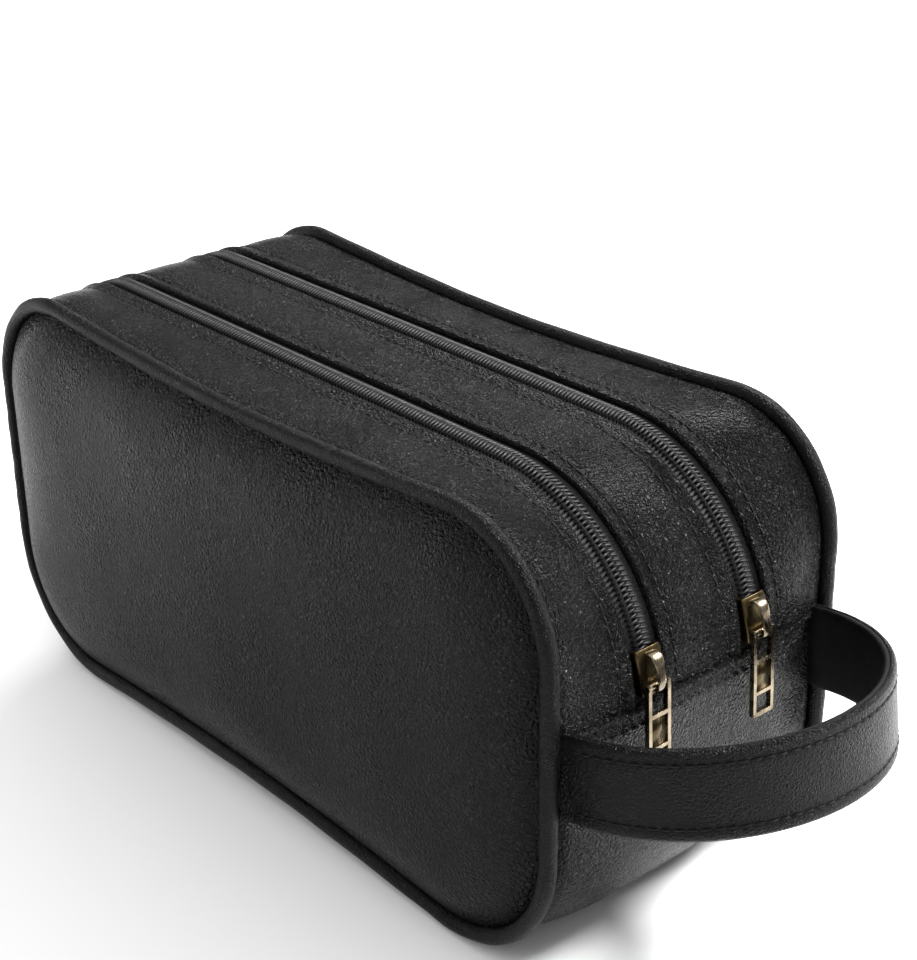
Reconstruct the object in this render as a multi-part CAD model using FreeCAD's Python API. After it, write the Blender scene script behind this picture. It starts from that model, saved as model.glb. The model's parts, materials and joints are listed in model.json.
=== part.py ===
# Shaving kit bag: a rounded box of padded leather with piped seams, two parallel zips that run over
# the top and down both ends, a divided interior and a wrist strap on the +X end.
# Frame: X along the bag, Y from front (-) to back (+), Z up from the surface it stands on.
import FreeCAD
import Part
import math
import os

Vec = FreeCAD.Vector

# Piped seams round the front and back panels (centreline of the piping)
PIPE_HALF_LENGTH = 124.5
PIPE_HALF_DEPTH = 51.2
PIPE_RADIUS = 2.4
PIPE_CORE_RADIUS = 1.2
PIPE_HEIGHT = 126.4
PIPE_TOP_CORNER = 35.0
PIPE_BOTTOM_CORNER = 40.0

# The run of the two zips: over the top, round an easy corner at the strap end and a tighter one at the far end
ZIP_Y = 19.5
ARC_X = 75.0
ARC_Z = 73.8
TAPE_RADIUS = 50.5
FAR_ARC_X = 99.0
FAR_TAPE_RADIUS = 31.5
SEAM_Z = 75.8

# Gusset layers, measured outwards from the middle of the zip tape
TAPE_HALF_THICK = 0.25
LEATHER_INNER = 0.3
LEATHER_OUTER = 1.9
COIL_TOP = 2.0
WELT_THICK = 0.8
WELT_HEIGHT = 3.0
GUSSET_FLAT = 24.7
GUSSET_EDGE = 48.6
BOTTOM_CORNER = 38.0

# Zip parts
WINDOW_HALF = 5.2
TAPE_WIDTH = 13.2
COIL_GAP_HALF = 0.8
COIL_WIDTH = 2.2
STOP_RUN = (1.9, 2.9)
SLIDER_REST = 12.4
SLIDER_HALF_LENGTH = 6.2
SLIDER_HALF_WIDTH = 4.4
SLIDER_INNER_HALF = 3.6
PLATE_LOW = 2.4
PLATE_TOP = 3.4
UNDER_TOP = -1.0
UNDER_LOW = -2.0
FLANGE_GAP = 0.35
POST_HALF = 0.45
POST_INSET = 1.0
BRIDGE_HALF_WIDTH = 1.2
BRIDGE_INNER_TOP = 5.9
BRIDGE_TOP = 7.1
BRIDGE_HALF_LENGTH = 5.6
BRIDGE_WALL = 1.2
PIN_HEIGHT = 4.8
PIN_OFFSET = 3.3
PIN_RADIUS = 0.8
PULL_LENGTH = 25.0
PULL_WIDTH = 7.8
PULL_THICK = 1.6
PULL_LEAN = 3.0
PULL_SLOT_WIDTH = 4.8
PULL_SLOT_END = 8.4
PULL_PANEL_END = 18.6
PULL_FOOT = 1.2
PULL_RECESS = 0.4

# Crowned panels: (inset from the piping line, how far it stands out of the seam plane)
CROWN = [(2.7, -1.0), (6.0, 2.8), (16.0, 6.4), (32.0, 8.0)]
PANEL_THICK = 1.6
FOAM_THICK = 3.0
FIT_GAP = 0.1

# Inside
LINING_THICK = 0.6
LINING_HALF_LENGTH = 116.0
LINING_BOTTOM = 6.4
LINING_TOP = 113.6
LINING_TOP_CORNER = 43.0
LINING_BOTTOM_CORNER = 34.0
LINING_OUT_Y = 45.0
LINING_IN_Y = 1.6
LINING_SLIT = 6.0
DIVIDER_HALF = 0.8
BOARD_HALF_LENGTH = 84.0
BOARD_HALF_WIDTH = 42.0
BOARD_THICK = 1.5
BOARD_CORNER = 12.0
BOARD_Z = 4.0

# Wrist strap on the +X end, three layers deep, turning about the line of its two sewn ends;
# it sways towards the back by a share of its reach
STRAP_Z = 65.6
STRAP_HEIGHT = 24.5
STRAP_RISE = 7.0
STRAP_SWAY = 0.09
STRAP_STRAIGHT = 4.0
STRAP_REACH = 44.5
STRAP_HALF_SPAN = 47.8
STRAP_LAYERS = [("handle_lining", 0.0, 1.1), ("handle_core", 1.1, 2.3), ("handle_outer_leather", 2.3, 3.5)]
STRAP_THICK = 3.5
ROOT_RADIUS = 15.0
ROOT_GAP = 0.4
ROOT_START = 2.8

FAR = 400.0


def outline(y, near, far, bottom, top, bottom_corner):
    """Closed rounded rectangle in the XZ plane at depth y; near and far are (reach along X, top corner)."""
    diagonal = math.sqrt(0.5)

    def corner(x_sign, z_sign):
        reach, top_corner = near if x_sign > 0 else far
        radius = top_corner if z_sign > 0 else bottom_corner
        edge_z = top if z_sign > 0 else bottom
        centre = Vec(x_sign * (reach - radius), y, edge_z - z_sign * radius)
        side = centre + Vec(x_sign * radius, 0, 0)
        middle = centre + Vec(x_sign * radius * diagonal, 0, z_sign * radius * diagonal)
        flat = centre + Vec(0, 0, z_sign * radius)
        return flat, middle, side

    flat_a, mid_a, side_a = corner(1, -1)
    flat_b, mid_b, side_b = corner(1, 1)
    flat_c, mid_c, side_c = corner(-1, 1)
    flat_d, mid_d, side_d = corner(-1, -1)
    edges = [
        Part.LineSegment(flat_d, flat_a).toShape(),
        Part.Arc(flat_a, mid_a, side_a).toShape(),
        Part.LineSegment(side_a, side_b).toShape(),
        Part.Arc(side_b, mid_b, flat_b).toShape(),
        Part.LineSegment(flat_b, flat_c).toShape(),
        Part.Arc(flat_c, mid_c, side_c).toShape(),
        Part.LineSegment(side_c, side_d).toShape(),
        Part.Arc(side_d, mid_d, flat_d).toShape(),
    ]
    return Part.Wire(edges)


def panel_outline(y, inset, bottom_corner, top_corner):
    """Outline of a panel at depth y, set in from the piping's centreline."""
    end = (PIPE_HALF_LENGTH - inset, top_corner)
    return outline(y, end, end, PIPE_RADIUS + inset, PIPE_RADIUS + PIPE_HEIGHT - inset, bottom_corner)


def loft(wires):
    return Part.makeLoft(wires, True, True)


def slab(x=(-FAR, FAR), y=(-FAR, FAR), z=(-FAR, FAR)):
    """Box that keeps only a range of x, y or z."""
    return Part.makeBox(x[1] - x[0], y[1] - y[0], z[1] - z[0], Vec(x[0], y[0], z[0]))


def gusset_outline(y, grow):
    """The gusset's section at depth y, grown outwards from the middle of the zip tape."""
    if abs(y) > GUSSET_FLAT:
        inset = LEATHER_OUTER - grow
        return panel_outline(y, inset, PIPE_BOTTOM_CORNER - inset, PIPE_TOP_CORNER - inset)
    near = (ARC_X + TAPE_RADIUS + grow, TAPE_RADIUS + grow)
    far = (FAR_ARC_X + FAR_TAPE_RADIUS + grow, FAR_TAPE_RADIUS + grow)
    top = ARC_Z + TAPE_RADIUS + grow
    return outline(y, near, far, LEATHER_OUTER - grow, top, BOTTOM_CORNER + grow)


def gusset_block(grow):
    depths = (-GUSSET_EDGE, -GUSSET_FLAT, GUSSET_FLAT, GUSSET_EDGE)
    spans = [loft([gusset_outline(a, grow), gusset_outline(b, grow)]) for a, b in zip(depths, depths[1:])]
    return spans[0].fuse(spans[1:]).removeSplitter()


def gusset_layer(inner, outer):
    """A closed band all the way round the bag, between two layer heights."""
    return gusset_block(outer).cut(gusset_block(inner))


def strip(layer, y_range, above=True):
    z_range = (SEAM_Z, FAR) if above else (-FAR, SEAM_Z)
    return layer.common(slab(y=y_range, z=z_range))


def arc_block(inner, outer, low, high, y_range):
    """Sector of the strap end's zip corner: heights above the tape, angles up from the corner's centre."""
    def at(height, angle):
        radius = TAPE_RADIUS + height
        turn = math.radians(angle)
        return Vec(ARC_X + radius * math.cos(turn), y_range[0], ARC_Z + radius * math.sin(turn))

    middle = (low + high) / 2
    edges = [
        Part.Arc(at(outer, low), at(outer, middle), at(outer, high)).toShape(),
        Part.LineSegment(at(outer, high), at(inner, high)).toShape(),
        Part.Arc(at(inner, high), at(inner, middle), at(inner, low)).toShape(),
        Part.LineSegment(at(inner, low), at(outer, low)).toShape(),
    ]
    return Part.Face(Part.Wire(edges)).extrude(Vec(0, y_range[1] - y_range[0], 0))


def degrees_for(length, height):
    """Angle at the corner's centre that a length takes up at a height above the tape."""
    return math.degrees(length / (TAPE_RADIUS + height))


def pipe_loop(side, radius):
    """Round tube along the piping line of the front (-1) or back (+1) panel."""
    y = side * PIPE_HALF_DEPTH
    path = panel_outline(y, 0, PIPE_BOTTOM_CORNER, PIPE_TOP_CORNER)
    runs = []
    for edge in path.Edges:
        start = edge.valueAt(edge.FirstParameter)
        end = edge.valueAt(edge.LastParameter)
        along = edge.tangentAt(edge.FirstParameter)
        disc = Part.Face(Part.Wire([Part.makeCircle(radius, start, along)]))
        if edge.Curve.TypeId == "Part::GeomCircle":
            turn = math.degrees(edge.LastParameter - edge.FirstParameter)
            runs.append(disc.revolve(edge.Curve.Center, edge.Curve.Axis, turn))
        else:
            runs.append(disc.extrude(end - start))
    return runs[0].fuse(runs[1:])


def piping(side):
    cover = pipe_loop(side, PIPE_RADIUS).cut(pipe_loop(side, PIPE_CORE_RADIUS + FIT_GAP))
    return cover, pipe_loop(side, PIPE_CORE_RADIUS)


def crown_block(side, shift):
    """The crowned panel as a solid, moved inwards by shift."""
    wires = []
    for inset, stand in CROWN:
        y = side * (PIPE_HALF_DEPTH + stand - shift)
        wires.append(panel_outline(y, inset, PIPE_BOTTOM_CORNER - inset, PIPE_TOP_CORNER - inset))
    return loft(wires)


def panel(side):
    leather = crown_block(side, 0).cut(crown_block(side, PANEL_THICK))
    foam_start = PANEL_THICK + FIT_GAP
    foam = crown_block(side, foam_start).cut(crown_block(side, foam_start + FOAM_THICK))
    return leather, foam


def lining(side):
    """Thin closed pouch of one compartment, slit under its zip."""
    def pouch(inset):
        def wire(y):
            end = (LINING_HALF_LENGTH - inset, LINING_TOP_CORNER - inset)
            return outline(y, end, end, LINING_BOTTOM + inset, LINING_TOP - inset,
                           LINING_BOTTOM_CORNER - inset)
        return loft([wire(side * (LINING_OUT_Y - inset)), wire(side * (LINING_IN_Y + inset))])

    slit_y = (side * ZIP_Y - LINING_SLIT, side * ZIP_Y + LINING_SLIT)
    slit = slab(x=(-ARC_X, ARC_X), y=slit_y, z=(ARC_Z, FAR))
    return pouch(0).cut(pouch(LINING_THICK)).cut(slit)


def divider():
    ring = gusset_block(0).common(slab(y=(-DIVIDER_HALF, DIVIDER_HALF)))
    return ring.common(slab(z=(BOARD_Z + BOARD_THICK + FIT_GAP, FAR)))


def bottom_board():
    size = (2 * BOARD_HALF_LENGTH, 2 * BOARD_HALF_WIDTH, BOARD_THICK)
    board = Part.makeBox(*size, Vec(-BOARD_HALF_LENGTH, -BOARD_HALF_WIDTH, BOARD_Z))
    upright = [edge for edge in board.Edges if edge.BoundBox.ZLength > BOARD_THICK / 2]
    return board.makeFillet(BOARD_CORNER, upright)


def gusset_parts():
    leather = gusset_layer(LEATHER_INNER, LEATHER_OUTER)
    welt = gusset_layer(LEATHER_OUTER, LEATHER_OUTER + WELT_THICK)
    welt = welt.common(slab(z=(SEAM_Z - WELT_HEIGHT / 2, SEAM_Z + WELT_HEIGHT / 2)))
    near = ZIP_Y - WINDOW_HALF
    far = ZIP_Y + WINDOW_HALF
    return {
        "bottom_band": strip(leather, (-FAR, FAR), above=False),
        "top_front_strip": strip(leather, (-FAR, -far)),
        "top_centre_strip": strip(leather, (-near, near)),
        "top_rear_strip": strip(leather, (far, FAR)),
        "handle_end_welt": welt.common(slab(x=(0, FAR))),
        "far_end_welt": welt.common(slab(x=(-FAR, 0))),
    }


def zip_tapes(name, side):
    """Two tapes and two coil halves of one zip; the outer half lies towards its panel."""
    tape = gusset_layer(-TAPE_HALF_THICK, TAPE_HALF_THICK)
    coil = gusset_layer(TAPE_HALF_THICK, COIL_TOP)
    above_welt = slab(z=(SEAM_Z + WELT_HEIGHT / 2, FAR))
    parts = {}
    for half, turn in (("outer", side), ("inner", -side)):
        def reach(width):
            ends = (side * ZIP_Y + turn * COIL_GAP_HALF, side * ZIP_Y + turn * (COIL_GAP_HALF + width))
            return (min(ends), max(ends))
        parts[name + "_zip_tape_" + half] = strip(tape, reach(TAPE_WIDTH))
        parts[name + "_zip_coil_" + half] = strip(coil, reach(COIL_WIDTH)).common(above_welt)
    return parts


def zip_stops(side):
    """A small crimped stop between the coil halves near each end seam."""
    y_range = (side * ZIP_Y - COIL_GAP_HALF, side * ZIP_Y + COIL_GAP_HALF)
    layer = gusset_layer(-TAPE_HALF_THICK, COIL_TOP).common(slab(y=y_range))
    ends = [layer.common(slab(x=x, z=(SEAM_Z + STOP_RUN[0], SEAM_Z + STOP_RUN[1]))) for x in ((0, FAR), (-FAR, 0))]
    return Part.makeCompound([end.Solids[0] for end in ends])


def slider(side):
    """Slider body: top plate, side flanges that leave a slot for the tape, under plate and post."""
    y = side * ZIP_Y
    half_turn = degrees_for(SLIDER_HALF_LENGTH, PLATE_TOP)
    low = SLIDER_REST - half_turn
    high = SLIDER_REST + half_turn
    full = (y - SLIDER_HALF_WIDTH, y + SLIDER_HALF_WIDTH)
    body = arc_block(PLATE_LOW, PLATE_TOP, low, high, full)
    blocks = [arc_block(UNDER_LOW, UNDER_TOP, low, high, full)]
    for turn in (-1, 1):
        edges = sorted((y + turn * SLIDER_INNER_HALF, y + turn * SLIDER_HALF_WIDTH))
        blocks.append(arc_block(TAPE_HALF_THICK + FLANGE_GAP, PLATE_LOW, low, high, edges))
        blocks.append(arc_block(UNDER_TOP, -TAPE_HALF_THICK - FLANGE_GAP, low, high, edges))
    post = arc_block(UNDER_TOP, PLATE_LOW, high - half_turn / 2, high - POST_INSET, (y - POST_HALF, y + POST_HALF))
    return body.fuse(blocks + [post]).removeSplitter()


def slider_bridge(side):
    """Arch on the slider's top plate that holds the pull."""
    y_range = (side * ZIP_Y - BRIDGE_HALF_WIDTH, side * ZIP_Y + BRIDGE_HALF_WIDTH)
    half_turn = degrees_for(BRIDGE_HALF_LENGTH, PIN_HEIGHT)
    wall_turn = degrees_for(BRIDGE_WALL, PIN_HEIGHT)
    low = SLIDER_REST - half_turn
    high = SLIDER_REST + half_turn
    arch = arc_block(PLATE_TOP, BRIDGE_TOP, low, high, y_range)
    opening = arc_block(PLATE_TOP, BRIDGE_INNER_TOP, low + wall_turn, high - wall_turn, y_range)
    return arch.cut(opening)


def pin_centre(side):
    angle = math.radians(SLIDER_REST - degrees_for(PIN_OFFSET, PIN_HEIGHT))
    radius = TAPE_RADIUS + PIN_HEIGHT
    return Vec(ARC_X + radius * math.cos(angle), side * ZIP_Y, ARC_Z + radius * math.sin(angle))


def pull(side):
    """Flat tab with a slot round the bridge, a recessed panel and a window near its foot."""
    centre = pin_centre(side)
    half = PULL_WIDTH / 2
    slot_half = PULL_SLOT_WIDTH / 2
    head = -PIN_RADIUS

    def block(half_width, top, bottom, out, inner):
        return Part.makeBox(out - inner, 2 * half_width, bottom - top,
                            centre + Vec(inner, -half_width, -bottom))

    thick = PULL_THICK / 2
    tab = block(half, 0, PULL_LENGTH + head, thick, -thick)
    slot = block(slot_half, head, PULL_SLOT_END + head, thick, -thick)
    window = block(slot_half, PULL_PANEL_END + head, PULL_LENGTH + head - PULL_FOOT, thick, -thick)
    tab = tab.cut(slot).cut(window)
    panel_top = PULL_SLOT_END + head + PULL_FOOT
    for out, inner in ((thick, thick - PULL_RECESS), (PULL_RECESS - thick, -thick)):
        tab = tab.cut(block(slot_half, panel_top, PULL_PANEL_END + head - PULL_FOOT, out, inner))
    pin = Part.makeCylinder(PIN_RADIUS, PULL_WIDTH, centre - Vec(0, half, 0), Vec(0, 1, 0))
    tab = tab.fuse(pin).removeSplitter()
    tab.rotate(centre, Vec(0, 1, 0), -PULL_LEAN)
    return tab


def strap_shape(start, end, height):
    """U-shaped strap between two depths of its thickness, before it is tilted up."""
    def half_loop(grow):
        span = STRAP_HALF_SPAN - STRAP_THICK + grow
        reach = STRAP_REACH - STRAP_THICK + grow
        bend_x = PIPE_HALF_LENGTH + STRAP_STRAIGHT
        low = STRAP_Z - height / 2
        bow = Part.Ellipse(Vec(0, span, 0), Vec(reach, 0, 0), Vec(0, 0, 0))
        if span < reach:
            bow = Part.Ellipse(Vec(reach, 0, 0), Vec(0, span, 0), Vec(0, 0, 0))
        solid = Part.Face(Part.Wire([bow.toShape()])).extrude(Vec(0, 0, height))
        solid.translate(Vec(bend_x, 0, low))
        block = Part.makeBox(STRAP_STRAIGHT, 2 * span, height, Vec(PIPE_HALF_LENGTH, -span, low))
        return solid.common(slab(x=(bend_x, FAR))).fuse(block).removeSplitter()

    strap = half_loop(end).cut(half_loop(start))
    strap.rotate(Vec(PIPE_HALF_LENGTH, 0, STRAP_Z), Vec(0, 1, 0), -STRAP_RISE)
    sway = FreeCAD.Matrix()
    sway.A21 = STRAP_SWAY
    sway.A24 = -STRAP_SWAY * PIPE_HALF_LENGTH
    return strap.transformGeometry(sway)


def root_cylinder(radius):
    return Part.makeCylinder(radius, 2 * FAR, Vec(PIPE_HALF_LENGTH, -FAR, STRAP_Z), Vec(0, 1, 0))


def handle_parts():
    """Moving strap layers beyond the sewn roots, and the two fixed roots."""
    moving = {}
    for name, start, end in STRAP_LAYERS:
        moving[name] = strap_shape(start, end, STRAP_HEIGHT).cut(root_cylinder(ROOT_RADIUS))
    root = strap_shape(0, STRAP_THICK, STRAP_HEIGHT).common(root_cylinder(ROOT_RADIUS - ROOT_GAP))
    root = root.common(slab(x=(PIPE_HALF_LENGTH + ROOT_START, FAR)))
    moving["handle_front_root"] = root.common(slab(y=(-FAR, 0)))
    moving["handle_rear_root"] = root.common(slab(y=(0, FAR)))
    return moving


def bag_parts():
    parts = gusset_parts()
    for name, side in (("front", -1), ("back", 1)):
        parts[name + "_panel"], parts[name + "_foam"] = panel(side)
        parts[name + "_piping_cover"], parts[name + "_piping_cord"] = piping(side)
    for name, side in (("front", -1), ("rear", 1)):
        parts.update(zip_tapes(name, side))
        parts[name + "_zip_stops"] = zip_stops(side)
        parts[name + "_slider"] = slider(side)
        parts[name + "_slider_bridge"] = slider_bridge(side)
        parts[name + "_pull"] = pull(side)
        parts[name + "_lining"] = lining(side)
    parts["divider_panel"] = divider()
    parts["bottom_board"] = bottom_board()
    parts.update(handle_parts())
    return parts


os.makedirs("parts", exist_ok=True)
for node, shape in bag_parts().items():
    box = shape.optimalBoundingBox(False)
    print(node, "solids", len(shape.Solids), "valid", shape.isValid(), "volume", round(shape.Volume, 1),
          "x", round(box.XMin, 1), round(box.XMax, 1), "y", round(box.YMin, 1), round(box.YMax, 1),
          "z", round(box.ZMin, 1), round(box.ZMax, 1))
    shape.exportStep(os.path.join("parts", node + ".step"))
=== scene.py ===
# Shaving kit bag: the looks. Every place comes from the frame's nodes or the named sizes below, which
# repeat the design's own dimensions in metres.
import bpy
import bmesh
import json
import math
from mathutils import Matrix, Vector


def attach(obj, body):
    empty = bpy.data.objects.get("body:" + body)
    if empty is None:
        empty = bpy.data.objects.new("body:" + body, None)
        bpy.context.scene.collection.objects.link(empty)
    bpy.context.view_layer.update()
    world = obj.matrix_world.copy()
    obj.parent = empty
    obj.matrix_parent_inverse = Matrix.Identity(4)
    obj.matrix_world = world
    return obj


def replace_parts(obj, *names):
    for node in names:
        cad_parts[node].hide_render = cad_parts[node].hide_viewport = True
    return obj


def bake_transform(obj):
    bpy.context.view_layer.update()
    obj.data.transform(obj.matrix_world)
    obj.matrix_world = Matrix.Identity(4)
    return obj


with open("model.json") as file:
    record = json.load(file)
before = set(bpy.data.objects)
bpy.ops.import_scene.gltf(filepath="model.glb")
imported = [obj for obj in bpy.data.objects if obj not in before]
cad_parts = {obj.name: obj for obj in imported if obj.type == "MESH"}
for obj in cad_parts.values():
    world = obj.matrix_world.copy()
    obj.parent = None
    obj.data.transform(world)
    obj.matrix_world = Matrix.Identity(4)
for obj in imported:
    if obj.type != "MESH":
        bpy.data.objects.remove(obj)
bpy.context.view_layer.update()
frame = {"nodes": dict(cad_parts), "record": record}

MM = 0.001

# Driving sizes of the bag, millimetres
PIPE_HALF_LENGTH = 124.5
PIPE_HALF_DEPTH = 51.2
PIPE_RADIUS = 2.4
PIPE_HEIGHT = 126.4
PIPE_TOP_CORNER = 35.0
PIPE_BOTTOM_CORNER = 40.0
ARC_X = 75.0
ARC_Z = 73.8
TAPE_RADIUS = 50.5
FAR_ARC_X = 99.0
FAR_TAPE_RADIUS = 31.5
SEAM_Z = 75.8
ZIP_Y = 19.5
WINDOW_HALF = 5.2
GUSSET_FLAT = 24.7
GUSSET_EDGE = 48.9
LEATHER_OUTER = 1.9
BOTTOM_CORNER = 38.0
SLIDER_REST = 12.4

# Slider and pull
SLIDER_HALF = 6.2
BRIDGE_HALF = 5.6
PIN_HEIGHT = 4.8
PIN_OFFSET = 3.3
PULL_WIDTH = 7.8
PULL_SLOT = 4.8
PULL_LEAN = 3.0

# Steps round each corner of the piped outline
CORNER_STEPS = 26

# How far the soft edges settle between the corners
TOP_SAG = 5.0
BOTTOM_BOW = 4.5
SETTLE_REACH = 112.0

# Stitches
STITCH_LENGTH = 2.6
STITCH_RADIUS = 0.3

# Wrist strap
STRAP_Z = 65.6
STRAP_HEIGHT = 24.5
STRAP_TILT = 7.0
STRAP_SWAY = 0.09
STRAP_STRAIGHT = 4.0
STRAP_REACH = 44.5
STRAP_HALF_SPAN = 47.8
STRAP_THICK = 3.5
STRAP_FLARE = 1.6

# Wave bands per unit of the wave texture's scale
WAVE_UNIT = 3.18


def smooth(t):
    t = min(max(t, 0.0), 1.0)
    return t * t * (3 - 2 * t)


def lerp(a, b, t):
    return a + (b - a) * t


# ---------------------------------------------------------------- camera, light and floor

def add_camera():
    data = bpy.data.cameras.new("camera")
    data.sensor_width = 36.0
    data.lens = 72.86
    data.shift_x = 0.0043
    data.shift_y = 0.0017
    data.clip_start = 0.01
    camera = bpy.data.objects.new("camera", data)
    bpy.context.scene.collection.objects.link(camera)
    place = Vector((0.4037, -0.3237, 0.3318))
    azimuth, elevation, roll = math.radians(48.9), math.radians(25.5), math.radians(-0.7)
    ahead = Vector((-math.sin(azimuth) * math.cos(elevation), math.cos(azimuth) * math.cos(elevation),
                    -math.sin(elevation)))
    turn = ahead.to_track_quat("-Z", "Y") @ Matrix.Rotation(roll, 3, "Z").to_quaternion()
    camera.matrix_world = Matrix.Translation(place) @ turn.to_matrix().to_4x4()
    bpy.context.scene.camera = camera


def add_light(name, place, aim, size, power, colour=(1, 1, 1)):
    data = bpy.data.lights.new(name, "AREA")
    data.shape = "RECTANGLE"
    data.size, data.size_y = size
    data.energy = power
    data.color = colour
    lamp = bpy.data.objects.new(name, data)
    bpy.context.scene.collection.objects.link(lamp)
    lamp.location = place
    lamp.rotation_euler = (Vector(aim) - Vector(place)).to_track_quat("-Z", "Y").to_euler()


def add_studio():
    middle = (0, 0, 0.06)
    add_light("key", (0.46, 0.66, 0.77), (0.11, 0, 0.11), (0.42, 0.24), 42)
    add_light("left", (-1.05, -0.75, 0.26), middle, (0.5, 0.5), 8)
    add_light("rim", (-0.75, 0.95, 0.75), middle, (0.7, 0.3), 9)
    sky = bpy.data.lights.new("overhead", "SUN")
    sky.energy = 2.8
    sky.angle = math.radians(110)
    lamp = bpy.data.objects.new("overhead", sky)
    bpy.context.scene.collection.objects.link(lamp)
    world = bpy.data.worlds.new("studio")
    world.use_nodes = True
    back = world.node_tree.nodes["Background"]
    back.inputs["Color"].default_value = (1, 1, 1, 1)
    back.inputs["Strength"].default_value = 0.3
    bpy.context.scene.world = world
    bpy.context.scene.view_settings.view_transform = "Standard"


def add_floor():
    mesh = bpy.data.meshes.new("floor")
    half = 40.0
    corners = [(-half, -half, 0), (half, -half, 0), (half, half, 0), (-half, half, 0)]
    mesh.from_pydata(corners, [], [(0, 1, 2, 3)])
    floor = bpy.data.objects.new("floor", mesh)
    bpy.context.scene.collection.objects.link(floor)
    pale = Surface("pale_floor")
    pale.shader.inputs["Base Color"].default_value = (0.86, 0.86, 0.86, 1)
    pale.shader.inputs["Roughness"].default_value = 0.8
    mesh.materials.append(pale.material)


# ---------------------------------------------------------------- materials

class Surface:
    """A material with its main shader and short helpers for adding nodes."""

    def __init__(self, name):
        self.material = bpy.data.materials.new(name)
        self.material.use_nodes = True
        self.tree = self.material.node_tree
        self.shader = self.tree.nodes["Principled BSDF"]
        self.place = self.node("ShaderNodeTexCoord").outputs["Object"]

    def node(self, kind, **values):
        made = self.tree.nodes.new(kind)
        for key, value in values.items():
            setattr(made, key, value)
        return made

    def link(self, start, end):
        self.tree.links.new(start, end)

    def scaled(self, scale):
        mapping = self.node("ShaderNodeMapping")
        self.link(self.place, mapping.inputs["Vector"])
        mapping.inputs["Scale"].default_value = scale
        return mapping.outputs["Vector"]

    def noise(self, scale, detail=4.0, rough=0.55, where=None):
        made = self.node("ShaderNodeTexNoise")
        made.inputs["Scale"].default_value = scale
        made.inputs["Detail"].default_value = detail
        made.inputs["Roughness"].default_value = rough
        self.link(where or self.place, made.inputs["Vector"])
        return made.outputs["Fac"]

    def ramp(self, value, low, high, out_low, out_high):
        made = self.node("ShaderNodeMapRange")
        made.interpolation_type = "SMOOTHSTEP"
        self.link(value, made.inputs["Value"])
        for name, number in (("From Min", low), ("From Max", high), ("To Min", out_low), ("To Max", out_high)):
            made.inputs[name].default_value = number
        return made.outputs["Result"]

    def math(self, kind, a, b):
        made = self.node("ShaderNodeMath", operation=kind)
        for socket, value in zip(made.inputs, (a, b)):
            if isinstance(value, (int, float)):
                socket.default_value = value
            else:
                self.link(value, socket)
        return made.outputs["Value"]

    def colour(self, fac, dark, light):
        made = self.node("ShaderNodeMix", data_type="RGBA")
        self.link(fac, made.inputs["Factor"])
        made.inputs[6].default_value = (*dark, 1)
        made.inputs[7].default_value = (*light, 1)
        self.link(made.outputs[2], self.shader.inputs["Base Color"])

    def rough(self, value):
        self.link(value, self.shader.inputs["Roughness"])

    def bump(self, height, distance, strength=1.0, before=None):
        made = self.node("ShaderNodeBump")
        made.inputs["Strength"].default_value = strength
        made.inputs["Distance"].default_value = distance
        self.link(height, made.inputs["Height"])
        if before is not None:
            self.link(before, made.inputs["Normal"])
        self.link(made.outputs["Normal"], self.shader.inputs["Normal"])
        return made.outputs["Normal"]


def leather(name, grain, depth, dark, light, rough_low, rough_high):
    """Pebbled leather: rounded cells with creases between them, over slow waves and fine pores."""
    made = Surface(name)
    warp = made.node("ShaderNodeTexNoise")
    warp.inputs["Scale"].default_value = grain * 0.35
    warp.inputs["Detail"].default_value = 2.0
    made.link(made.place, warp.inputs["Vector"])
    push = made.node("ShaderNodeVectorMath", operation="SCALE")
    push.inputs["Scale"].default_value = 0.9 / grain
    made.link(warp.outputs["Color"], push.inputs[0])
    moved = made.node("ShaderNodeVectorMath", operation="ADD")
    made.link(made.place, moved.inputs[0])
    made.link(push.outputs["Vector"], moved.inputs[1])
    cells = made.node("ShaderNodeTexVoronoi", feature="DISTANCE_TO_EDGE")
    cells.inputs["Scale"].default_value = grain
    made.link(moved.outputs["Vector"], cells.inputs["Vector"])
    pebble = made.ramp(cells.outputs["Distance"], 0.0, 0.32, 0.0, 1.0)
    small = made.node("ShaderNodeTexVoronoi", feature="DISTANCE_TO_EDGE")
    small.inputs["Scale"].default_value = grain * 2.3
    made.link(moved.outputs["Vector"], small.inputs["Vector"])
    fine = made.ramp(small.outputs["Distance"], 0.0, 0.3, 0.0, 1.0)
    patches = made.noise(grain * 0.09, 3.0)
    worn = made.ramp(patches, 0.35, 0.7, 0.25, 1.0)
    height = made.math("ADD", made.math("MULTIPLY", pebble, worn), made.math("MULTIPLY", fine, 0.35))
    first = made.bump(made.noise(55.0, 3.0), 0.0012, 0.35)
    made.bump(height, depth, 0.9, first)
    made.colour(made.math("MULTIPLY", pebble, patches), dark, light)
    made.rough(made.ramp(made.math("ADD", made.math("MULTIPLY", pebble, 0.35), patches), 0.3, 1.1,
                         rough_high, rough_low))
    made.shader.inputs["Specular IOR Level"].default_value = 0.08
    return made.material


def woven(name, pitch, dark, light):
    """Fine woven tape or cloth."""
    made = Surface(name)
    waves = []
    for axis in (0, 1):
        wave = made.node("ShaderNodeTexWave", wave_type="BANDS", bands_direction="XYZ"[axis])
        wave.inputs["Scale"].default_value = 1 / pitch / WAVE_UNIT
        made.link(made.place, wave.inputs["Vector"])
        waves.append(wave.outputs["Fac"])
    height = made.math("MULTIPLY", waves[0], waves[1])
    made.bump(height, 0.0002, 0.6)
    blotches = made.math("MULTIPLY", made.noise(300), 0.4)
    made.colour(made.math("ADD", made.math("MULTIPLY", height, 0.6), blotches), dark, light)
    made.rough(made.ramp(made.noise(200), 0.3, 0.7, 0.75, 0.9))
    made.shader.inputs["Sheen Weight"].default_value = 0.15
    return made.material


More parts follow.
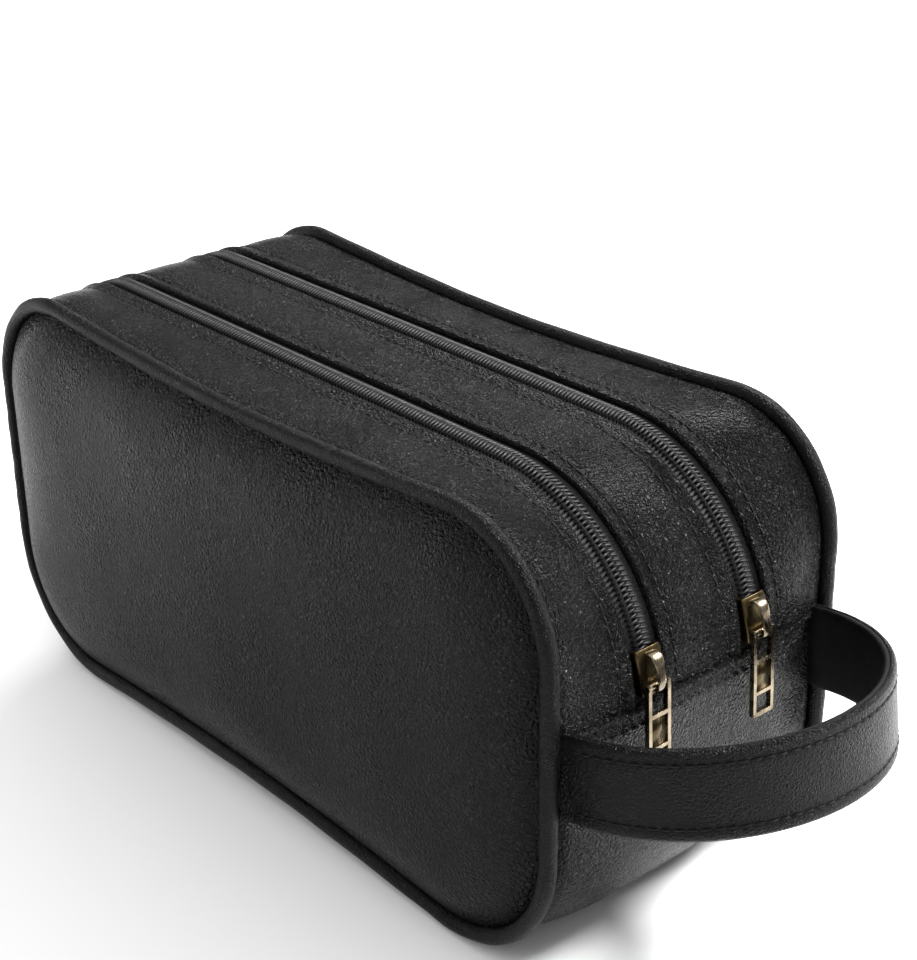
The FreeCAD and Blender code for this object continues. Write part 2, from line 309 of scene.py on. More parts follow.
def nylon(name, dark, light):
    made = Surface(name)
    made.colour(made.noise(400), dark, light)
    made.rough(made.ramp(made.noise(700), 0.3, 0.7, 0.38, 0.55))
    made.bump(made.noise(2500), 0.00005, 0.5)
    made.shader.inputs["Specular IOR Level"].default_value = 0.15
    return made.material


def thread(name, dark, light):
    made = Surface(name)
    made.colour(made.noise(900), dark, light)
    made.rough(made.ramp(made.noise(700), 0.3, 0.7, 0.5, 0.7))
    made.shader.inputs["Specular IOR Level"].default_value = 0.12
    made.bump(made.noise(4000), 0.00008, 0.7)
    return made.material


def brass(name, dark, light, rough_low, rough_high):
    """Antique brass: brushed metal with darker, duller patches."""
    made = Surface(name)
    patches = made.noise(160, 5.0, 0.6)
    brushed = made.noise(500, 3.0, 0.6, made.scaled((1.0, 6.0, 0.6)))
    made.colour(made.ramp(patches, 0.35, 0.65, 0.0, 1.0), dark, light)
    made.shader.inputs["Metallic"].default_value = 1.0
    made.rough(made.ramp(brushed, 0.3, 0.7, rough_low, rough_high))
    made.bump(brushed, 0.00003, 0.4)
    return made.material


def make_materials():
    return {
        "black_leather": leather("pebbled_leather", 620, 0.0008, (0.0012, 0.0012, 0.0012),
                                 (0.003, 0.003, 0.003), 0.2, 0.34),
        "band_leather": leather("fine_leather", 700, 0.0008, (0.0012, 0.0012, 0.0012),
                                (0.003, 0.003, 0.003), 0.18, 0.32),
        "piping_leather": leather("piping_leather", 1000, 0.00026, (0.0012, 0.0012, 0.0012),
                                  (0.003, 0.003, 0.003), 0.24, 0.38),
        "handle_leather": leather("handle_leather", 850, 0.0004, (0.0012, 0.0012, 0.0012),
                                  (0.003, 0.003, 0.003), 0.25, 0.4),
        "strap_lining": leather("strap_lining", 1400, 0.0001, (0.0018, 0.0018, 0.0019),
                                (0.004, 0.004, 0.0041), 0.45, 0.6),
        "zip_tape": woven("zip_tape", 0.0007, (0.003, 0.003, 0.0031), (0.010, 0.010, 0.0105)),
        "zip_coil": nylon("zip_coil", (0.002, 0.002, 0.002), (0.005, 0.005, 0.005)),
        "thread": thread("thread", (0.0015, 0.0015, 0.0015), (0.004, 0.004, 0.004)),
        "antique_brass": brass("antique_brass", (0.10, 0.08, 0.052), (0.22, 0.18, 0.125), 0.2, 0.34),
        # Darker copy of the same brass: painted shade on the sunk pull panel and a painted dark reflection on the
        # slider plate, beside the lighter copy on the rims and the bridge.
        "shade_painted_brass": brass("shade_painted_brass", (0.035, 0.026, 0.012), (0.075, 0.056, 0.026), 0.25, 0.4),
        "lining_fabric": woven("lining_fabric", 0.0012, (0.02, 0.02, 0.022), (0.05, 0.05, 0.055)),
        "padding": woven("padding", 0.004, (0.12, 0.12, 0.12), (0.2, 0.2, 0.2)),
        "board": nylon("board", (0.03, 0.03, 0.03), (0.06, 0.06, 0.06)),
        "piping_cord": nylon("piping_cord", (0.2, 0.2, 0.2), (0.3, 0.3, 0.3)),
    }


# ---------------------------------------------------------------- mesh helpers

def add_piece(name, points, faces, material, body="bag"):
    """A mesh piece in millimetres, smooth shaded, riding on a body."""
    mesh = bpy.data.meshes.new(name)
    mesh.from_pydata([Vector(p) * MM for p in points], [], faces)
    mesh.validate()
    shape = bmesh.new()
    shape.from_mesh(mesh)
    bmesh.ops.remove_doubles(shape, verts=shape.verts, dist=0.00002)
    bmesh.ops.recalc_face_normals(shape, faces=shape.faces)
    shape.to_mesh(mesh)
    shape.free()
    for face in mesh.polygons:
        face.use_smooth = True
    mesh.materials.append(materials[material])
    piece = bpy.data.objects.new(name, mesh)
    bpy.context.scene.collection.objects.link(piece)
    if body:
        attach(piece, body)
    return piece


def sweep(rings, closed_path=False, caps=True):
    """Faces of a tube whose rings are closed loops of the same count."""
    count = len(rings[0])
    points = [p for ring in rings for p in ring]
    faces = []
    spans = len(rings) if closed_path else len(rings) - 1
    for i in range(spans):
        a, b = i * count, ((i + 1) % len(rings)) * count
        for j in range(count):
            k = (j + 1) % count
            faces.append((a + j, a + k, b + k, b + j))
    if caps and not closed_path:
        faces.append(tuple(range(count)))
        faces.append(tuple(range(len(points) - count, len(points))))
    return points, faces


class Shape:
    """Gathers points and faces of many small solids into one mesh."""

    def __init__(self):
        self.points = []
        self.faces = []

    def add(self, points, faces):
        start = len(self.points)
        self.points.extend(points)
        self.faces.extend([tuple(i + start for i in face) for face in faces])


# ---------------------------------------------------------------- the bag's surfaces

def settle(x, y, z):
    """Soft edges near the panels sag along the top and bow up along the bottom."""
    side = smooth((abs(y) - 24.0) / 28.0)
    along = max(0.0, 1 - (x / SETTLE_REACH) ** 2) ** 1.5
    top = smooth((z - 45.0) / 85.0)
    bottom = smooth((60.0 - z) / 60.0)
    return (x, y, z + side * along * (BOTTOM_BOW * bottom - TOP_SAG * top))


def depth_mix(y):
    return min(max((abs(y) - GUSSET_FLAT) / (GUSSET_EDGE - GUSSET_FLAT), 0.0), 1.0)


def arc_and_line(half, end_z, radius, seam_z, upward, steps):
    """Half of a gusset section: from the end seam round one corner to the middle, as (x, z) points."""
    sign = 1 if upward else -1
    centre_x = half - radius
    centre_z = end_z - sign * radius
    start = (centre_z - seam_z) * sign
    lead = max(start, 0.0)
    angle_start = 0.0 if start > 0 else math.asin(-start / radius)
    arc = radius * (math.pi / 2 - angle_start)
    side_steps, top_steps = steps
    points = []
    for i in range(side_steps):
        run = (lead + arc) * i / side_steps
        if run < lead:
            points.append((half, seam_z + sign * run))
        else:
            angle = angle_start + (run - lead) / radius
            points.append((centre_x + radius * math.cos(angle), centre_z + sign * radius * math.sin(angle)))
    for i in range(top_steps + 1):
        points.append((centre_x * (1 - i / top_steps), end_z))
    return points


def section(y, grow, upward=True, steps=(40, 44)):
    """Gusset section at depth y from the +X end seam to the -X end seam."""
    mix = depth_mix(y)
    if not upward:
        mix = mix ** 1.6
    sides = []
    for arc_x, arc_radius in ((ARC_X, TAPE_RADIUS), (FAR_ARC_X, FAR_TAPE_RADIUS)):
        half = lerp(arc_x + arc_radius, PIPE_HALF_LENGTH - LEATHER_OUTER, mix) + grow
        if upward:
            end_z = lerp(ARC_Z + TAPE_RADIUS, PIPE_RADIUS + PIPE_HEIGHT - LEATHER_OUTER, mix) + grow
            radius = lerp(arc_radius, PIPE_TOP_CORNER - LEATHER_OUTER, mix) + grow
        else:
            end_z = lerp(LEATHER_OUTER, PIPE_RADIUS + LEATHER_OUTER, mix) - grow
            radius = lerp(BOTTOM_CORNER, PIPE_BOTTOM_CORNER - LEATHER_OUTER, mix) + grow
        sides.append(arc_and_line(half, end_z, radius, SEAM_Z, upward, steps))
    near, far = sides
    left = [(-x, z) for x, z in reversed(far[:-1])]
    return [settle(x, y, z) for x, z in near + left]


def swept_strip(profile, upward=True, steps=(40, 44)):
    """A closed profile of (depth y, height over the tape) swept along the gusset."""
    runs = [section(y, grow, upward, steps) for y, grow in profile]
    return [[run[i] for run in runs] for i in range(len(runs[0]))]


def lip_profile(edge_y, away):
    """Strip with a folded, raised edge at edge_y; away is +1 when the strip lies on the +Y side of it."""
    inner = 0.35
    folded = [(0.6, inner), (0.05, 0.9), (0.0, 1.7), (0.35, 2.35), (1.1, 2.62), (1.9, 2.45), (2.7, 2.1),
              (3.6, 1.85), (4.45, 1.72), (4.85, 1.5), (5.25, 1.72), (6.2, 1.9), (8.0, 1.98)]
    return [(edge_y + away * d, h) for d, h in folded]


def side_strip(side):
    """Strip between a piped panel and its zip."""
    edge = side * (ZIP_Y + WINDOW_HALF)
    top = lip_profile(edge, side)
    span = GUSSET_EDGE - abs(top[-1][0])
    middle = [(top[-1][0] + side * span * t, 1.98 + 0.5 * math.sin(math.pi * t)) for t in (0.2, 0.4, 0.6, 0.8)]
    end = [(side * (GUSSET_EDGE - 0.7), 1.75), (side * GUSSET_EDGE, 1.2), (side * (GUSSET_EDGE - 0.4), 0.35)]
    return top + middle + end


def centre_strip():
    edge = ZIP_Y - WINDOW_HALF
    right = lip_profile(edge, -1)
    left = [(-y, h) for y, h in reversed(right)]
    return right + [(3.4, 2.1), (0.0, 2.15), (-3.4, 2.1)] + left


def band_profile():
    """Lower band from one panel to the other: pillowed slightly between the two seams."""
    outer = []
    for i in range(25):
        t = i / 12 - 1
        puff = 0.3 * (1 - t * t)
        edge = 0.9 * smooth((abs(t) - 0.965) / 0.035)
        outer.append((GUSSET_EDGE * t, LEATHER_OUTER + puff - edge))
    inner = [(GUSSET_EDGE * t, 0.35) for t in (0.98, 0.5, 0.0, -0.5, -0.98)]
    return outer + inner


def add_gusset():
    parts = (("top_front_strip", side_strip(-1)), ("top_centre_strip", centre_strip()),
             ("top_rear_strip", side_strip(1)))
    for name, profile in parts:
        piece = add_piece(name + "_leather", *sweep(swept_strip(profile)), "band_leather")
        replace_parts(piece, name)
    band = add_piece("bottom_band_leather", *sweep(swept_strip(band_profile(), False)), "band_leather")
    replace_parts(band, "bottom_band")


def add_end_welts():
    """Folded welt over each end seam."""
    for name, turn in (("handle_end_welt", 1), ("far_end_welt", -1)):
        rings = []
        for i in range(61):
            y = lerp(-GUSSET_EDGE + 0.3, GUSSET_EDGE - 0.3, i / 60)
            x = abs(section(y, 0.0)[0 if turn > 0 else -1][0])
            ring = []
            for j in range(12):
                angle = 2 * math.pi * j / 12
                lift = 1.4 * math.cos(angle)
                out = 1.6 + 1.4 * math.sin(angle)
                ring.append((turn * (x + out), y, SEAM_Z + lift))
            rings.append(ring)
        piece = add_piece(name + "_leather", *sweep(rings), "band_leather")
        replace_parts(piece, name)


def pipe_loop(long_steps, short_steps):
    """Points (x, z) round the piped outline; the top and bottom lines take long_steps each."""
    half, low, high = PIPE_HALF_LENGTH, PIPE_RADIUS, PIPE_RADIUS + PIPE_HEIGHT
    corners = ((1, -1, PIPE_BOTTOM_CORNER), (1, 1, PIPE_TOP_CORNER), (-1, 1, PIPE_TOP_CORNER),
               (-1, -1, PIPE_BOTTOM_CORNER))

    def centre(corner):
        sx, sz, radius = corner
        return (sx * (half - radius), (high if sz > 0 else low) - sz * radius)

    points = []
    for index, corner in enumerate(corners):
        x, z = centre(corner)
        radius = corner[2]
        begin = math.radians(-90 + 90 * index)
        for i in range(CORNER_STEPS + 1):
            angle = begin + math.pi / 2 * i / CORNER_STEPS
            points.append((x + radius * math.cos(angle), z + radius * math.sin(angle)))
        following = corners[(index + 1) % 4]
        x, z = centre(following)
        angle = begin + math.pi / 2
        start = points[-1]
        end = (x + following[2] * math.cos(angle), z + following[2] * math.sin(angle))
        steps = long_steps if index in (1, 3) else short_steps
        for i in range(1, steps):
            points.append((lerp(start[0], end[0], i / steps), lerp(start[1], end[1], i / steps)))
    return points


def pipe_path(side):
    """Points along one piped seam, settled."""
    return [Vector(settle(x, side * PIPE_HALF_DEPTH, z)) for x, z in pipe_loop(40, 40)]


def add_piping():
    for name, side in (("front", -1), ("back", 1)):
        path = pipe_path(side)
        count = len(path)
        rings = []
        for i, point in enumerate(path):
            along = (path[(i + 1) % count] - path[i - 1]).normalized()
            deep = Vector((0, side, 0))
            out = along.cross(deep).normalized()
            swell = PIPE_RADIUS * (1 + 0.025 * math.sin(i * 0.9) + 0.02 * math.sin(i * 0.37 + 1))
            rings.append([point + out * (swell * math.cos(a)) + deep * (swell * math.sin(a))
                          for a in [2 * math.pi * j / 14 for j in range(14)]])
        piece = add_piece(name + "_piping", *sweep(rings, closed_path=True), "piping_leather")
        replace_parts(piece, name + "_piping_cover", name + "_piping_cord")


def inside_distance(x, z):
    """How far a point is inside the piping line."""
    middle = PIPE_RADIUS + PIPE_HEIGHT / 2
    radius = PIPE_TOP_CORNER if z > middle else PIPE_BOTTOM_CORNER
    dx = abs(x) - (PIPE_HALF_LENGTH - radius)
    dz = abs(z - middle) - (PIPE_HEIGHT / 2 - radius)
    outside = math.hypot(max(dx, 0), max(dz, 0)) + min(max(dx, dz), 0)
    return radius - outside


def crown(distance):
    """How far the padded panel stands out of the seam's plane."""
    rise = 1 - math.exp(-max(distance - 1.4, 0) / 8.5)
    return -1.2 + 9.2 * rise


def panel_height(x, z):
    soft = 0.35 * math.sin(x * 0.041 + 1.3) * math.sin(z * 0.063 + 0.4)
    soft += 0.25 * math.sin(x * 0.09 + z * 0.05)
    distance = inside_distance(x, z)
    return crown(distance) + soft * smooth(distance / 30)


def add_panels():
    """Padded panels: rings that shrink from the piped seam to the middle."""
    middle = PIPE_RADIUS + PIPE_HEIGHT / 2
    loop = pipe_loop(48, 20)
    rings_count = 46
    for name, side in (("front", -1), ("back", 1)):
        for kind, drop, nodes in (("panel", 0.0, (name + "_panel",)), ("foam", 1.9, (name + "_foam",))):
            rings = []
            for i in range(rings_count):
                shrink = 1 - (0.019 + 0.981 * (i / (rings_count - 1)) ** 1.35)
                ring = []
                for x, z in loop:
                    px, pz = x * shrink, middle + (z - middle) * shrink
                    out = panel_height(px, pz) - drop
                    ring.append(settle(px, side * (PIPE_HALF_DEPTH + out), pz))
                rings.append(ring)
            back = []
            for x, z in loop:
                px, pz = x * 0.975, middle + (z - middle) * 0.96
                back.append(settle(px, side * (PIPE_HALF_DEPTH - 2.6 - drop * 0.4), pz))
            points, faces = sweep([back] + rings, caps=False)
            points.append(settle(0, side * (PIPE_HALF_DEPTH - 2.6 - drop * 0.4), middle))
            count = len(loop)
            centre = len(points) - 1
            faces.extend((j, (j + 1) % count, centre) for j in range(count))
            piece = add_piece(name + "_" + kind + "_skin", points, faces,
                              "black_leather" if kind == "panel" else "padding")
            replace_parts(piece, *nodes)


# ---------------------------------------------------------------- zips

def zip_runs():
    """Lengths of the zip's near corner, its straight top and its far corner."""
    near = TAPE_RADIUS * (math.pi / 2 - math.asin((SEAM_Z - ARC_Z) / TAPE_RADIUS))
    far_side = ARC_Z + TAPE_RADIUS - FAR_TAPE_RADIUS - SEAM_Z
    return near, ARC_X + FAR_ARC_X, FAR_TAPE_RADIUS * math.pi / 2, far_side


def zip_point(run, y, grow):
    """Point on the zip's path at a run along the tape from the +X seam, with its tangent and outward way."""
    near, line, corner, side = zip_runs()
    far_z = ARC_Z + TAPE_RADIUS - FAR_TAPE_RADIUS
    radius = TAPE_RADIUS
    if run <= near:
        angle = math.pi / 2 - (near - run) / TAPE_RADIUS
        centre = Vector((ARC_X, y, ARC_Z))
    elif run <= near + line:
        angle = math.pi / 2
        centre = Vector((ARC_X - (run - near), y, ARC_Z))
    else:
        turned = min(run - near - line, corner)
        angle = math.pi / 2 + turned / FAR_TAPE_RADIUS
        centre = Vector((-FAR_ARC_X, y, far_z - (run - near - line - turned)))
        radius = FAR_TAPE_RADIUS
    out = Vector((math.cos(angle), 0, math.sin(angle)))
    along = Vector((-math.sin(angle), 0, math.cos(angle)))
    return centre + out * (radius + grow), along, out


def zip_length():
    return sum(zip_runs())


def corner_point(angle, y, height):
    """Point on the strap end's zip corner at an angle up from its centre."""
    turn = math.radians(angle)
    radius = TAPE_RADIUS + height
    return Vector((ARC_X + radius * math.cos(turn), y, ARC_Z + radius * math.sin(turn)))


def tube(path, radius, sides=6, squash=1.0):
    """Round tube along a short list of points with closed ends."""
    rings = []
    for i, point in enumerate(path):
        along = (path[min(i + 1, len(path) - 1)] - path[max(i - 1, 0)]).normalized()
        side = along.cross(Vector((0.13, 0.2, 0.97))).normalized()
        other = along.cross(side)
        size = radius * (0.55 if i in (0, len(path) - 1) else 1.0)
        rings.append([point + side * (size * math.cos(2 * math.pi * j / sides))
                      + other * (size * squash * math.sin(2 * math.pi * j / sides)) for j in range(sides)])
    return sweep(rings)


def coil_teeth(side, turn):
    """One half of a zip's coil: a row of slanted loops whose heads reach past the middle."""
    pitch = 1.32
    shape = Shape()
    count = int((zip_length() - 8.0) / pitch)
    for i in range(count):
        run = 4.0 + i * pitch + (0.5 * pitch if turn > 0 else 0.0)
        y = side * ZIP_Y
        path = []
        for across, height, ahead in ((2.75, 0.55, -0.35), (2.75, 1.35, -0.3), (2.2, 1.8, -0.2), (1.0, 1.95, 0.05),
                                      (-0.25, 1.85, 0.3), (-0.6, 1.25, 0.35), (-0.25, 0.7, 0.3)):
            point, along, out = zip_point(run, y + turn * across, height)
            path.append(point + along * ahead)
        shape.add(*tube(path, 0.43))
    return shape


def add_zips():
    for name, side in (("front", -1), ("rear", 1)):
        for half, turn in (("outer", side), ("inner", -side)):
            teeth = coil_teeth(side, turn)
            piece = add_piece(name + "_coil_" + half + "_teeth", teeth.points, teeth.faces, "zip_coil")
            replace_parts(piece, name + "_zip_coil_" + half)
            ys = [side * ZIP_Y + turn * d for d in (0.25, 2.9, 5.0, 9.0, 13.5)]
            profile = [(y, 0.25) for y in ys] + [(y, -0.25) for y in reversed(ys)]
            tape = add_piece(name + "_tape_" + half + "_cloth", *sweep(swept_strip(profile)), "zip_tape")
            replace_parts(tape, name + "_zip_tape_" + half)


# ---------------------------------------------------------------- stitches

def stitch_row(name, places, body="bag"):
    """Thread stitches: short sunken capsules, each given by its middle, its way along and its outward way."""
    shape = Shape()
    for middle, along, out in places:
        path = []
        for t, sink in ((-0.5, -0.45), (-0.36, -0.02), (0.0, 0.1), (0.36, -0.02), (0.5, -0.45)):
            path.append(middle + along * (STITCH_LENGTH * t) + out * sink)
        shape.add(*tube(path, STITCH_RADIUS))
    return add_piece(name, shape.points, shape.faces, "thread", body=body)


def resample(points, spacing, start, end):
    """Evenly spaced places along a polyline, with the way along at each."""
    lengths = [0.0]
    for a, b in zip(points, points[1:]):
        lengths.append(lengths[-1] + (b - a).length)
    places = []
    run = start
    index = 0
    while run < lengths[-1] - end:
        while lengths[index + 1] < run:
            index += 1
        a, b = points[index], points[index + 1]
        t = (run - lengths[index]) / (lengths[index + 1] - lengths[index])
        places.append((a.lerp(b, t), (b - a).normalized()))
        run += spacing
    return places


def strip_stitches(name, y, height):
    """Row of stitches along a strip at depth y."""
    line = [Vector(p) for p in section(y, height)]
    places = []
    for middle, along in resample(line, 3.4, 5.0, 5.0):
        out = along.cross(Vector((0, -1, 0))).normalized()
        places.append((middle, along, out))
    return stitch_row(name, places)


def add_stitches():
    for name, side in (("front", -1), ("rear", 1)):
        strip_stitches(name + "_strip_stitches", side * (ZIP_Y + WINDOW_HALF + 4.85), 1.62)
        strip_stitches(name + "_centre_stitches", side * (ZIP_Y - WINDOW_HALF - 4.85), 1.62)
    for name, turn in (("handle_end_stitches", 1), ("far_end_stitches", -1)):
        line = [Vector((section(y, 2.15, False)[0 if turn > 0 else -1][0], y, SEAM_Z - 4.6))
                for y in [lerp(-46.0, 46.0, i / 60) for i in range(61)]]
        places = [(middle, along, Vector((turn, 0, 0))) for middle, along in resample(line, 3.4, 1.0, 1.0)]
        stitch_row(name, places)


# ---------------------------------------------------------------- sliders and pulls

def bevelled(piece, width, segments=3):
    made = piece.modifiers.new("edges", "BEVEL")
    made.width = width * MM
    made.segments = segments
    made.limit_method = "ANGLE"
    made.angle_limit = math.radians(35)
    weighted = piece.modifiers.new("normals", "WEIGHTED_NORMAL")
    weighted.keep_sharp = False
    return piece


def add_box(shape, low, high, place):
    """Box between two corners, put in place by a function of its own across, along and out."""
    corners = [place(x, y, z) for x in (low[0], high[0]) for y in (low[1], high[1]) for z in (low[2], high[2])]
    shape.add(corners, [(0, 1, 3, 2), (4, 6, 7, 5), (0, 4, 5, 1), (2, 3, 7, 6), (0, 2, 6, 4), (1, 5, 7, 3)])


def add_plate(shape, columns, rows, holes, thick, place):
    """Flat plate cut into cells, with open cells at holes given as (column, row)."""
    width, height = len(columns) - 1, len(rows) - 1
    start = len(shape.points)
    for level in (-thick / 2, thick / 2):
        shape.points.extend(place(x, y, level) for y in rows for x in columns)
    layer = len(columns) * len(rows)

    def index(i, j, upper):
        return start + upper * layer + j * len(columns) + i

    solid = {(i, j) for i in range(width) for j in range(height)} - set(holes)
    for i, j in solid:
        ring = [(i, j), (i + 1, j), (i + 1, j + 1), (i, j + 1)]
        for upper in (0, 1):
            shape.faces.append(tuple(index(a, b, upper) for a, b in ring))
        for (a, b), (c, d), step in ((ring[0], ring[1], (0, -1)), (ring[1], ring[2], (1, 0)),
                                     (ring[2], ring[3], (0, 1)), (ring[3], ring[0], (-1, 0))):
            if (i + step[0], j + step[1]) not in solid:
                shape.faces.append((index(a, b, 0), index(c, d, 0), index(c, d, 1), index(a, b, 1)))


def add_pull(name, side):
    """Flat brass tab: slot round the bridge, sunk middle panel, open window near the foot."""
    pin = TAPE_RADIUS + PIN_HEIGHT
    angle = math.radians(SLIDER_REST) - PIN_OFFSET / pin
    centre = Vector((ARC_X + pin * math.cos(angle), side * ZIP_Y, ARC_Z + pin * math.sin(angle)))
    lean = math.radians(PULL_LEAN)
    down = Vector((math.sin(lean), 0, -math.cos(lean)))
    out = Vector((math.cos(lean), 0, math.sin(lean)))

    def place(across, along, level):
        return centre + Vector((0, across, 0)) + down * along + out * level

    half, slot_half = PULL_WIDTH / 2, PULL_SLOT / 2
    shape = Shape()
    rows = [-0.8, -0.35, 0.75, 7.6, 8.75, 16.9, 17.9, 23.0, 23.75, 24.2]
    columns = [-half, -half + 0.5, -slot_half - 0.4, slot_half + 0.4, half - 0.5, half]
    corners = [(0, 0), (4, 0), (0, len(rows) - 2), (4, len(rows) - 2)]
    add_plate(shape, columns, rows, [(2, 0), (2, 1), (2, 2), (2, 4), (2, 6)] + corners, 1.5, place)
    rings = []
    for across in (-slot_half - 0.6, slot_half + 0.6):
        rings.append([place(across, 0.7 * math.cos(t), 0.7 * math.sin(t))
                      for t in [2 * math.pi * i / 20 for i in range(20)]])
    shape.add(*sweep(rings))
    sunk = Shape()
    add_box(sunk, (-slot_half - 0.55, 8.6, -0.3), (slot_half + 0.55, 17.05, 0.3), place)
    # The sunk panel takes the darker brass copy: painted shade in the recess.
    add_piece(name + "_pull_panel", sunk.points, sunk.faces, "shade_painted_brass", body=name + "_pull")
    for across, along in ((-half + 0.5, -0.35), (half - 0.5, -0.35), (-half + 0.5, 23.75), (half - 0.5, 23.75)):
        rings = []
        for level in (-0.75, 0.75):
            rings.append([place(across + 0.49 * math.cos(t), along + 0.44 * math.sin(t), level)
                          for t in [2 * math.pi * i / 20 for i in range(20)]])
        shape.add(*sweep(rings))
    piece = add_piece(name + "_pull_tab", shape.points, shape.faces, "antique_brass", body=name + "_pull")
    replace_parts(bevelled(piece, 0.22), name + "_pull")


def add_slider(name, side):
    """Slider: a plate that flares to its mouth, rolled side flanges, an under plate and its bridge."""
    y = side * ZIP_Y
    turn = math.degrees(SLIDER_HALF / (TAPE_RADIUS + 3.4))
    body = Shape()
    rings = []
    for i in range(15):
        t = i / 7 - 1
        angle = SLIDER_REST + turn * t
        half = 3.8 + 0.6 * smooth((t + 0.9) / 1.5) - 0.2 * smooth((abs(t) - 0.86) / 0.14)
        drop = 0.3 * smooth((abs(t) - 0.8) / 0.2)
        outer = [(half, 0.65), (half, 2.7 - drop), (half - 0.18, 3.15 - drop), (half - 0.6, 3.4 - drop)]
        inner = [(3.0, 2.75), (3.2, 2.6), (3.25, 0.65)]
        crest = [(0.9, 3.5 - drop), (-0.9, 3.5 - drop)]
        run = outer + crest + [(-a, h) for a, h in reversed(outer)]
        run += [(-a, h) for a, h in reversed(inner)] + inner
        rings.append([corner_point(angle, y + a, h) for a, h in run])
    body.add(*sweep(rings))
    rings = []
    for i in range(9):
        t = i / 4 - 1
        half = 3.5 + 0.8 * smooth((t + 0.9) / 1.5)
        run = [(half, -1.0), (half, -1.9), (-half, -1.9), (-half, -1.0)]
        rings.append([corner_point(SLIDER_REST + turn * t, y + a, h) for a, h in run])
    body.add(*sweep(rings))
    # The slider plate takes the darker brass copy: a painted dark reflection, while the bridge keeps the lighter
    # brass.
    piece = add_piece(name + "_slider_body", body.points, body.faces, "shade_painted_brass", body=name + "_slider")
    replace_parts(bevelled(piece, 0.12), name + "_slider")
    bridge = Shape()
    reach = math.degrees(BRIDGE_HALF / (TAPE_RADIUS + PIN_HEIGHT))
    rings = []
    for i in range(25):
        t = math.pi * i / 24
        angle = SLIDER_REST - reach * 0.89 * math.copysign(abs(math.cos(t)) ** 0.55, math.cos(t))
        rise = 2.9 + 3.5 * math.sin(t) ** 0.6
        middle = corner_point(angle, y, rise)
        away = (middle - corner_point(SLIDER_REST, y, 3.0)).normalized()
        half_width = lerp(0.75, 1.9, smooth(i / 20))
        half_thick = 0.45
        ring = []
        for j in range(16):
            a = 2 * math.pi * j / 16
            across = half_width * math.copysign(abs(math.cos(a)) ** 0.6, math.cos(a))
            level = half_thick * math.copysign(abs(math.sin(a)) ** 0.8, math.sin(a))
            ring.append(middle + Vector((0, across, 0)) + away * level)
        rings.append(ring)
    bridge.add(*sweep(rings))
    arch = add_piece(name + "_slider_arch", bridge.points, bridge.faces, "antique_brass", body=name + "_slider")
    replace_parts(arch, name + "_slider_bridge")


def add_hardware():
    for name, side in (("front", -1), ("rear", 1)):
        add_slider(name, side)
        add_pull(name, side)


def dress_cad_nodes():
    """CAD pieces that keep their shape get their material."""
    slots = {item["node"]: item["material_slot"] for item in frame["record"]["subparts"]}
    for name, node in frame["nodes"].items():
        for item in node.material_slots:
            item.material = materials[slots[name]]


# ---------------------------------------------------------------- wrist strap

def strap_path(steps=90):
    """Middle line of the strap in plan from its front root to its rear root, with its outward way."""
    reach = STRAP_REACH - STRAP_THICK / 2
    span = STRAP_HALF_SPAN - STRAP_THICK / 2
    bend = PIPE_HALF_LENGTH + STRAP_STRAIGHT
    points = []
    root = PIPE_HALF_LENGTH - 1.0
    for i in range(8):
        flare = STRAP_FLARE * (1 - i / 8) ** 2
        points.append(Vector((lerp(root, bend, i / 8), -span - flare, 0)))
    for i in range(steps + 1):
        angle = -math.pi / 2 + math.pi * i / steps
        points.append(Vector((bend + reach * math.cos(angle), span * math.sin(angle), 0)))
    for i in range(1, 9):
        flare = STRAP_FLARE * (i / 8) ** 2
        points.append(Vector((lerp(bend, root, i / 8), span + flare, 0)))
    return points


def strap_frames():
    path = strap_path()
    frames = []
    for i, point in enumerate(path):
        along = (path[min(i + 1, len(path) - 1)] - path[max(i - 1, 0)]).normalized()
        out = along.cross(Vector((0, 0, 1)))
        frames.append((point, along, out))
    return frames


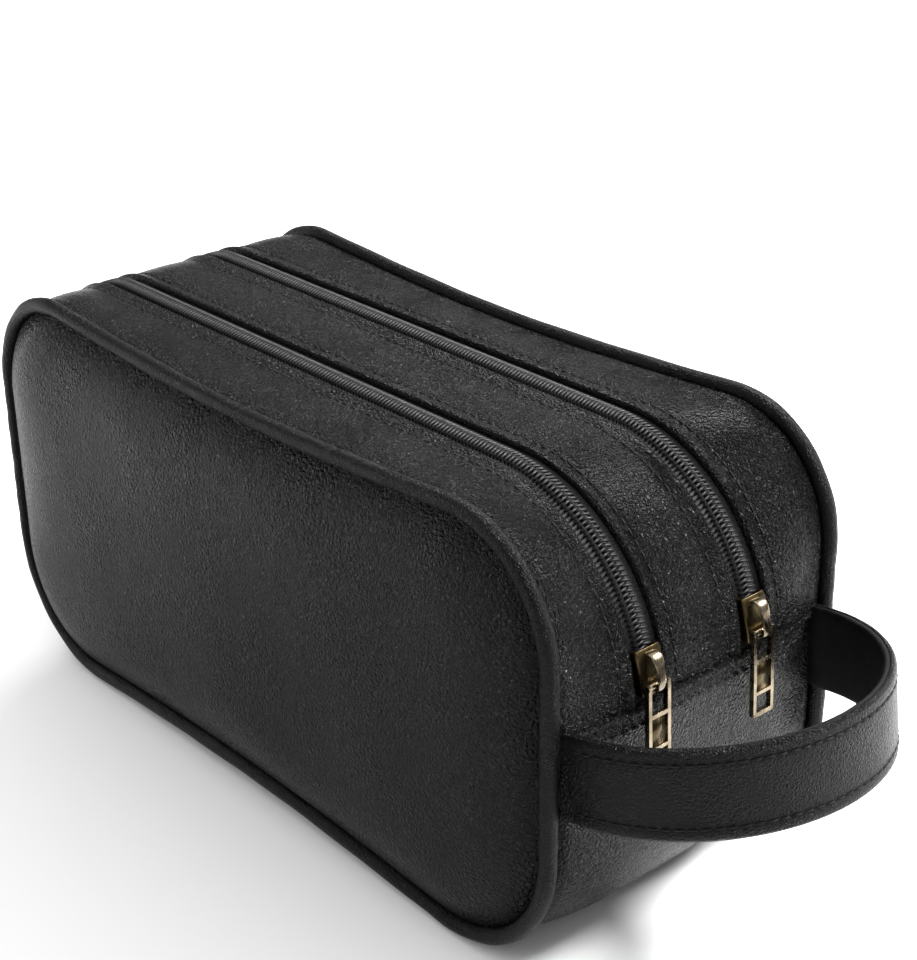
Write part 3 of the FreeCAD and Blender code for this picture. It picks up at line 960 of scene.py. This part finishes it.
def tilt(point):
    """Tilt a strap point up about the line of its roots."""
    angle = math.radians(STRAP_TILT)
    x, z = point[0] - PIPE_HALF_LENGTH, point[2]
    reach = x * math.cos(angle) - z * math.sin(angle)
    return Vector((PIPE_HALF_LENGTH + reach, point[1] + STRAP_SWAY * reach,
                   STRAP_Z + x * math.sin(angle) + z * math.cos(angle)))


def strap_piece(name, profile, material, nodes):
    """Sweep a profile of (outward, up) round the strap and tilt it up about the line of its roots."""
    rings = []
    for point, along, out in strap_frames():
        rings.append([tilt(point + out * o + Vector((0, 0, u))) for o, u in profile])
    piece = add_piece(name, *sweep(rings), material, body=None)
    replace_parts(piece, *nodes)
    return piece


def blend_strap(piece):
    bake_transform(piece)


def add_strap():
    half = STRAP_HEIGHT / 2
    outer = [(1.75, 0.0), (1.75, half - 5.5), (1.72, half - 4.3), (1.5, half - 3.7), (1.72, half - 3.1),
             (1.85, half - 2.0), (1.7, half - 0.9), (1.15, half - 0.15), (0.35, half + 0.05), (0.2, half - 0.5),
             (0.3, half - 1.6), (0.3, 0.0)]
    outer = outer + [(o, -u) for o, u in reversed(outer[:-1])][:-1]
    inner = [(0.25, half - 0.6), (0.1, half - 0.15), (-0.6, half - 0.1), (-1.2, half - 0.5), (-1.5, half - 1.6),
             (-1.55, half - 3.5), (-1.65, 0.0)]
    inner = inner + [(o, -u) for o, u in reversed(inner[:-1])]
    face = strap_piece("handle_outer_skin", outer, "handle_leather",
                       ("handle_outer_leather", "handle_front_root", "handle_rear_root"))
    back = strap_piece("handle_inner_skin", inner, "strap_lining", ("handle_lining", "handle_core"))
    blend_strap(face)
    blend_strap(back)
    line = strap_frames()
    for name, height in (("handle_upper_stitches", half - 3.7), ("handle_lower_stitches", 3.7 - half)):
        path = [tilt(p + out * 1.6 + Vector((0, 0, height))) for p, along, out in line]
        places = []
        for middle, along in resample(path, 3.2, 6.0, 6.0):
            out = along.cross(Vector((0, 0, 1))).normalized()
            places.append((middle, along, out))
        piece = stitch_row(name, places, body=None)
        blend_strap(piece)


materials = {}
add_camera()
add_studio()
add_floor()
materials.update(make_materials())
dress_cad_nodes()
add_gusset()
add_end_welts()
add_piping()
add_panels()
add_zips()
add_hardware()
add_stitches()
add_strap()
